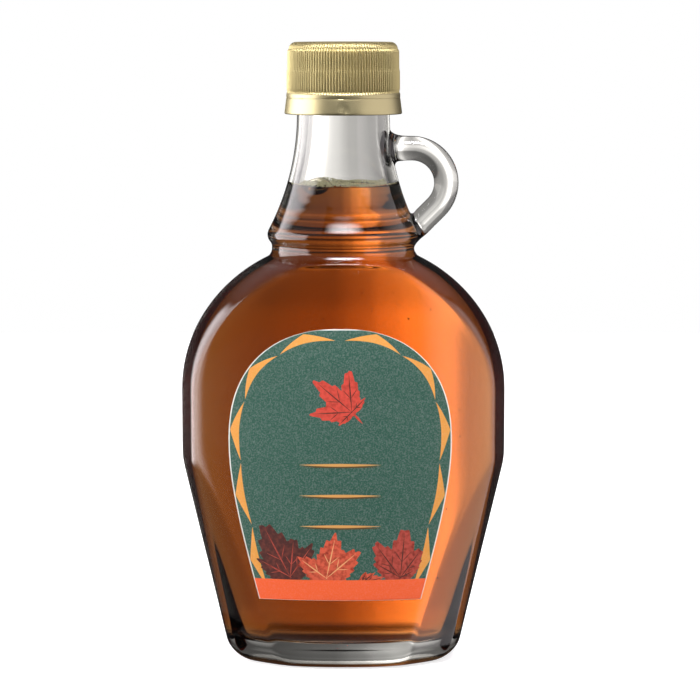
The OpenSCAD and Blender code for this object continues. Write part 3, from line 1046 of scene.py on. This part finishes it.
def along_edge(s, inwards):
    """Point at the run s along the outline from its top, moved inwards at a right angle."""
    run = np.abs(s)
    x, z = np.interp(run, edge_s, edge_x), np.interp(run, edge_s, edge_z)
    after, before = run + run_step, np.maximum(run - run_step, 0)
    dx = np.interp(after, edge_s, edge_x) - np.interp(before, edge_s, edge_x)
    dz = np.interp(after, edge_s, edge_z) - np.interp(before, edge_s, edge_z)
    size = np.hypot(dx, dz)
    return (x + dz / size * inwards) * np.sign(s), z - dx / size * inwards


run = np.linspace(-1, 1, 25)[:, None]
across = np.linspace(0, 1, 5)[None, :]
outer_line = tip_in + ends_in * np.abs(run)
inner_line = inner_line_in - hollow_in * (1 - np.abs(run) ** 1.5)
inwards = outer_line + (inner_line - outer_line) * across
for name, side in (("left", -1), ("right", 1)):
    for k in range(darts):
        at = first_dart + dart_step * k
        x, z = along_edge(np.maximum(at + dart_half * run, 0.7) * side + 0 * across, inwards)
        sheet(f"dart_{name}_{k + 1}", x, z, PAPER, PAPER + 2 * LAYER, ochre)

# %% [markdown]
# ## Rules and leaves
# Three gold rules taper to both ends. A leaf is a fan of lobes: at each angle it reaches as
# far as the longest lobe still reaches there, and each lobe falls off quickly to both sides.
# A saw-tooth wave on top gives the toothed edge.

# %% Rules
rule_heights = (54.9, 46.75, 38.65)
rule_half = 10.7


def spindle(name, start, end, width, low, high, paint):
    """A thin line from start to end that tapers to both ends."""
    run = np.linspace(0, 1, 17)[:, None]
    half = (width * (1 - np.abs(2 * run - 1) ** 1.6) + 0.01) * np.linspace(-1, 1, 3)[None, :]
    (x0, z0), (x1, z1) = start, end
    length = math.hypot(x1 - x0, z1 - z0)
    x = x0 + (x1 - x0) * run - (z1 - z0) / length * half
    z = z0 + (z1 - z0) * run + (x1 - x0) / length * half
    return sheet(name, x, z, low, high, paint)


for k, height in enumerate(rule_heights):
    spindle(f"rule_shade_{k + 1}", (-10.5, height - 0.45), (10.9, height - 0.45), 0.3,
            PAPER, PAPER + 2 * LAYER, rule_shade)
    spindle(f"rule_{k + 1}", (-rule_half, height), (rule_half, height), 0.38,
            PAPER, PAPER + 2.6 * LAYER, rule_gold)

# %% Leaves
leaf_points = 420                           # round a leaf's edge
heart_r = 1.1                               # a leaf's least radius, where no lobe reaches
longest_lobe = 18
teeth_round = 34                            # teeth in a full turn
vein_share = 0.86                           # how far a vein runs along its lobe
twig_at, twig_share = 0.3, 0.26             # where its side veins start, and their length
twig_turn = 38                              # their angle to it, in degrees
vein_low, vein_high = -0.004, 0.006         # a vein's back and face, from the leaf's face


def leaf(name, base, lobes, layer, paint, vein, soft=35.0):
    """Toothed leaf around its base. lobes holds (angle in degrees, length) pairs, and soft
    is the turn over which a lobe falls to a third. The veins run along the lobes."""
    a = np.arange(leaf_points) * 2 * np.pi / leaf_points
    reach = np.full(len(a), heart_r)
    for angle, length in lobes:
        turn = np.abs((a - math.radians(angle) + np.pi) % (2 * np.pi) - np.pi)
        reach = np.maximum(reach, length * np.exp(-np.degrees(turn) / soft))
    teeth = np.abs((a * (teeth_round / 2) / np.pi) % 1 - 0.5) * 2
    reach = reach * (1.03 - 0.13 * teeth * ease((reach - 2) / 2))
    low, high = PAPER + LAYER * (layer - 0.6), PAPER + LAYER * layer
    disc(name, *base, a, np.minimum(reach, longest_lobe), low, high, paint)
    for k, (angle, length) in enumerate(lobes):
        c, s_ = math.cos(math.radians(angle)), math.sin(math.radians(angle))
        spindle(f"{name}_vein_{k + 1}", (base[0] - 0.5 * c, base[1] - 0.5 * s_),
                (base[0] + vein_share * length * c, base[1] + vein_share * length * s_),
                0.16, high + vein_low, high + vein_high, vein)
        for sign in (-1, 1):
            t = math.radians(angle + twig_turn * sign)
            px, pz = base[0] + twig_at * length * c, base[1] + twig_at * length * s_
            spindle(f"{name}_vein_{k + 1}_{'a' if sign < 0 else 'b'}", (px, pz),
                    (px + twig_share * length * math.cos(t), pz + twig_share * length * math.sin(t)),
                    0.10, high + vein_low, high + vein_high, vein)


leaf("leaf_middle", (3.05, 68.9),
     ((46, 5.2), (94.6, 11.8), (140, 13.6), (183, 11.4), (225, 5.1)), 3, rust, vein_dark)
spindle("leaf_stem", (3.0, 69.0), (5.9, 65.8), 0.28, PAPER + LAYER, PAPER + 3 * LAYER, rust)
leaf("leaf_left", (-13.1, 25.1), ((117.7, 16.5), (152, 10.0), (56, 11), (85, 11)),
     2.2, maroon, wine, 50.0)
leaf("leaf_right", (15.8, 24.9), ((84.6, 13.9), (126, 12.3), (149, 8.6), (53, 9.8), (25, 4.2)),
     2.4, wine, vein_dark, 46.0)
leaf("leaf_front", (-3.6, 24.9), ((78, 12.4), (40.5, 11.8), (143.6, 9.4)), 3.2, coral,
     vein_light, 54.0)
leaf("leaf_curl", (5.5, 23.6), ((38, 4.6), (14, 6.2), (66, 3.4)), 2.9, coral, vein_dark, 40.0)
# the strip lies over the feet of the lower leaves
field("strip_cover", strip_foot, strip_top, strip_edge, face, PAPER + 3.9 * LAYER, orange, 8)

# %% [markdown]
# ## Camera and light
# The camera stands nearly a metre in front, a little above the cap, with a long lens. It
# looks slightly down, because it aims near the middle of the flask's height.

# %% The camera
aim = Vector((0.00178, 0, 0.08275))         # about half the height, and the loop's side
camera_away, camera_z = 0.900, 0.174

camera_data = bpy.data.cameras.new("camera")
camera_data.lens = 174.2
camera_data.sensor_width = 36.0
camera = bpy.data.objects.new("camera", camera_data)
bpy.context.scene.collection.objects.link(camera)
camera.location = (aim.x, -camera_away, camera_z)
camera.rotation_euler = (aim - camera.location).to_track_quat("-Z", "Y").to_euler()
camera_data.clip_start = 0.01
camera_data.clip_end = 20
bpy.context.scene.camera = camera
print("camera turned by", [round(math.degrees(a), 2) for a in camera.rotation_euler])

# %% [markdown]
# ## Soft boxes
# A glossy thing is lit by what it mirrors. A soft box is a card that glows and fades towards
# its edges: one stands at the left, a weaker one at the right, and a bright one above the
# camera, for the cap's metal. Light that comes through the flask passes them by, so that
# they draw no rectangles in the syrup.

# %% The soft boxes
box_points = 33                             # along each side of a box
middle = Vector((0, 0, 80))                 # the boxes face this point of the flask


def emitting(name, color, strength):
    """A material that only gives light, as strong as the mesh's own value "soft" says."""
    made, nodes, links, shader = material(name)
    nodes.remove(shader)
    emission = nodes.new("ShaderNodeEmission")
    emission.inputs["Color"].default_value = (*color, 1)
    soft = nodes.new("ShaderNodeAttribute")
    soft.attribute_name = "soft"
    times = nodes.new("ShaderNodeMath")
    times.operation = "MULTIPLY"
    times.inputs[1].default_value = strength
    links.new(soft.outputs["Fac"], times.inputs[0])
    links.new(times.outputs[0], emission.inputs["Strength"])
    links.new(emission.outputs["Emission"], nodes["Material Output"].inputs["Surface"])
    return made


def soft_box(name, azimuth, elevation, strength, color, distance=1000, round_box=False):
    """A flat rectangle of light that faces the flask and fades towards its edges. azimuth
    and elevation are the two angles that it covers, in degrees: azimuth 0 is straight
    behind and 90 to the right. It shows in reflections and lights the matt surfaces, but
    isn't seen through the glass."""
    a, e = math.radians(sum(azimuth) / 2), math.radians(sum(elevation) / 2)
    away = Vector((math.sin(a) * math.cos(e), math.cos(a) * math.cos(e), math.sin(e)))
    turn = (-away).to_track_quat("Z", "Y").to_matrix()
    half = [distance * math.tan(math.radians(abs(v[1] - v[0]) / 2))
            for v in (azimuth, elevation)]
    run = np.linspace(-1, 1, box_points)
    u, v = [g.ravel() for g in np.meshgrid(run, run)]
    side, over = [np.array(turn @ Vector(axis)) for axis in ((1, 0, 0), (0, 1, 0))]
    points = (np.array(middle + away * distance) + u[:, None] * side * half[0]
              + v[:, None] * over * half[1])
    piece = build(name, points, [grid_quads(box_points, box_points, False)],
                  emitting(name + "_light", color, strength), closed=False)
    if round_box:
        fade = ease((1 - np.hypot(u, v)) / 0.7)
    else:
        fade = ease((1 - np.abs(u)) / 0.3) * ease((1 - np.abs(v)) / 0.3)
    soft = piece.data.attributes.new("soft", "FLOAT", "POINT")
    soft.data.foreach_set("value", fade.astype(np.float32))
    piece.visible_camera = piece.visible_transmission = False


soft_box("left_box", (-126, -50), (-20, 34), 5.6, (1.0, 0.96, 0.98))
soft_box("right_box", (54, 150), (-40, 42), 1.35, (1.0, 0.94, 0.97))
soft_box("top_box", (150, 205), (44, 75), 30.0, (1.0, 0.97, 1.0), distance=900, round_box=True)

# %% [markdown]
# ## Floor
# The floor is a plain white plane. Its own glow lifts it to the white of the background, so
# that no line shows where it ends, and only the camera sees it.

# %% The floor
floor_half = 900.0


def pale_floor():
    """White, with the soft shade that the flask throws on it."""
    made, nodes, links, shader = material("pale_floor", {
        "Base Color": (0.9, 0.9, 0.9, 1), "Roughness": 0.7, "Specular IOR Level": 0.0})
    glow = nodes.new("ShaderNodeEmission")
    glow.inputs["Strength"].default_value = 0.72
    both = nodes.new("ShaderNodeAddShader")
    links.new(shader.outputs[0], both.inputs[0])
    links.new(glow.outputs[0], both.inputs[1])
    links.new(both.outputs[0], nodes["Material Output"].inputs["Surface"])
    return made


square = np.array([[-1, -1, 0], [1, -1, 0], [1, 1, 0], [-1, 1, 0.0]])
one_face = [np.array([[0, 1, 2, 3]])]
floor = build("floor", square * floor_half, one_face, pale_floor(), closed=False)
floor.visible_glossy = floor.visible_transmission = floor.visible_diffuse = False

# %% [markdown]
# ## What the flask sees
# Clear glass and syrup show their surroundings, bent and mirrored. So the world has three
# parts: white for the camera, a sky for the light that comes through the flask, with one
# bright soft lobe a little left of straight behind, and a dark room for its reflections, in
# which the soft boxes stand.

# %% Short ways to write the world's nodes
world = bpy.data.worlds.new("studio")
bpy.context.scene.world = world
world.use_nodes = True
wn, wl = world.node_tree.nodes, world.node_tree.links
wn.clear()


def background(color, strength=1.0):
    """A world shader, with a fixed colour or a linked one."""
    node = wn.new("ShaderNodeBackground")
    node.inputs["Strength"].default_value = strength
    if isinstance(color, tuple):
        node.inputs["Color"].default_value = (*color, 1)
    else:
        wl.new(color, node.inputs["Color"])
    return node


def maths(kind, a, b=None):
    """One step of arithmetic on numbers or on other nodes' outputs."""
    node = wn.new("ShaderNodeMath")
    node.operation = kind
    for socket, value in zip(node.inputs, (a, b)):
        if isinstance(value, (int, float)):
            socket.default_value = value
        elif value is not None:
            wl.new(value, socket)
    return node.outputs[0]


def color_steps(source, stops, scale=1.0):
    """A ramp: (position, colour or grey) pairs, each divided by scale."""
    node = wn.new("ShaderNodeValToRGB")
    node.color_ramp.interpolation = "EASE"
    elements = node.color_ramp.elements
    while len(elements) < len(stops):
        elements.new(0.5)
    for element, (position, value) in zip(elements, stops):
        element.position = position
        value = value if isinstance(value, tuple) else (value, value * 0.985, value * 0.96)
        element.color = (*[v / scale for v in value], 1)
    wl.new(source, node.inputs[0])
    return node.outputs[0]


print("world", world.name, "is empty now:", len(wn), "nodes")

# %% The sky behind the flask
SKY_TOP = 3.0                               # the ramp holds the sky divided by this
SKY = ((-180, 0.09), (-110, 0.30), (-55, 0.62), (-32, 0.80), (-21, 1.10), (-17, 2.8),
       (-11, 3.0), (-7, 2.3), (-3, 1.3), (2, 0.74), (14, 0.50), (45, 0.45), (110, 0.34),
       (180, 0.09))                         # degrees from straight behind, brightness
HEIGHTS = ((0.34, 0.56), (0.384, 0.70), (0.405, 1.0), (0.455, 1.0), (0.475, 0.75),
           (0.515, 0.66), (0.575, 0.2), (0.80, 0.3))      # 0 is below, 1 above; brightness

where = wn.new("ShaderNodeTexCoord")
split = wn.new("ShaderNodeSeparateXYZ")
wl.new(where.outputs["Generated"], split.inputs[0])
azimuth = maths("ARCTAN2", split.outputs["X"], split.outputs["Y"])
turn = maths("ADD", maths("MULTIPLY", azimuth, 0.5 / math.pi), 0.5)
through = color_steps(turn, [(a / 360 + 0.5, v) for a, v in SKY], SKY_TOP)
level = maths("ADD", maths("MULTIPLY", split.outputs["Z"], 0.5), 0.5)
height = color_steps(level, HEIGHTS)
dimmed = wn.new("ShaderNodeVectorMath")
dimmed.operation = "MULTIPLY"
wl.new(through, dimmed.inputs[0])
wl.new(height, dimmed.inputs[1])
print("sky of", len(SKY), "steps round and", len(HEIGHTS), "steps up")

# %% The dark room, and which ray sees what
room = color_steps(split.outputs["Z"], [
    (0.0, (0.02, 0.02, 0.022)), (0.36, (0.03, 0.03, 0.03)), (0.60, (0.32, 0.30, 0.33))])
path = wn.new("ShaderNodeLightPath")
first, second = wn.new("ShaderNodeMixShader"), wn.new("ShaderNodeMixShader")
wl.new(path.outputs["Is Transmission Ray"], first.inputs[0])
wl.new(background(room).outputs[0], first.inputs[1])
wl.new(background(dimmed.outputs[0], SKY_TOP).outputs[0], first.inputs[2])
wl.new(path.outputs["Is Camera Ray"], second.inputs[0])
wl.new(first.outputs[0], second.inputs[1])
wl.new(background((1.0, 1.0, 1.0)).outputs[0], second.inputs[2])
wl.new(second.outputs[0], wn.new("ShaderNodeOutputWorld").inputs["Surface"])
bpy.context.scene.view_settings.view_transform = "Standard"
print("world", world.name, "has", len(wn), "nodes")

# %% [markdown]
# ## The dark of the ground close to the foot
# Close to the flask the floor lies in its shade, and the thick glass of the foot shows that
# dark. A plane just under the floor is dark inside a circle and clear outside it, and only
# light that comes through glass sees it.

# %% The shaded ground
shade_in, shade_out = 0.038, 0.060          # metres from the flask's axis: dark, then clear
ground_half = 180.0
ground_z = -0.2

ground_shade, nodes, links, shader = material("ground_shade")
nodes.remove(shader)
place = nodes.new("ShaderNodeTexCoord")
far = nodes.new("ShaderNodeVectorMath")
far.operation = "LENGTH"
fade = nodes.new("ShaderNodeMapRange")
fade.interpolation_type = "SMOOTHSTEP"
fade.inputs["From Min"].default_value = shade_in
fade.inputs["From Max"].default_value = shade_out
dark = nodes.new("ShaderNodeEmission")
dark.inputs["Color"].default_value = (0.13, 0.115, 0.115, 1)
mixed = nodes.new("ShaderNodeMixShader")
links.new(place.outputs["Object"], far.inputs[0])
links.new(far.outputs["Value"], fade.inputs["Value"])
links.new(fade.outputs[0], mixed.inputs[0])
links.new(dark.outputs[0], mixed.inputs[1])
links.new(nodes.new("ShaderNodeBsdfTransparent").outputs[0], mixed.inputs[2])
links.new(mixed.outputs[0], nodes["Material Output"].inputs["Surface"])
ground = build("ground_shade", square * ground_half + [0, 0, ground_z], one_face,
               ground_shade, closed=False)
ground.visible_camera = ground.visible_glossy = ground.visible_diffuse = False
ground.visible_shadow = False
